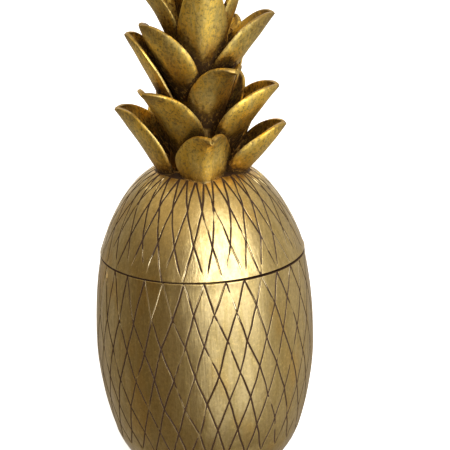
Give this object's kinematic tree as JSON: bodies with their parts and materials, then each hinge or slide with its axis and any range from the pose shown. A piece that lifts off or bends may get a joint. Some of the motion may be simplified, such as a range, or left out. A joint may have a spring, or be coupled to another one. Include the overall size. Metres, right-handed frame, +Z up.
{
  "type": "decorative pineapple jar",
  "caption": "Lidded jar shaped as a pineapple, with a carved diamond lattice and a lift-off lid that carries a crown of pointed leaves.",
  "frame": {"origin": "centre of the foot's underside, on the surface that the jar stands on", "axes": "+Z up through the crown, -Y towards the front, +X to the right"},
  "size_m": [0.1198, 0.1196, 0.3009],
  "materials": {
    "barrel_gold": "satin antique gold leaf over cast resin, brown wash in the grooves",
    "crown_gold": "burnished antique gold leaf over cast resin, dark brown wash between the leaves"
  },
  "bodies": {
    "root": {"jar": "barrel_gold", "lid": "crown_gold"}
  },
  "joints": []
}
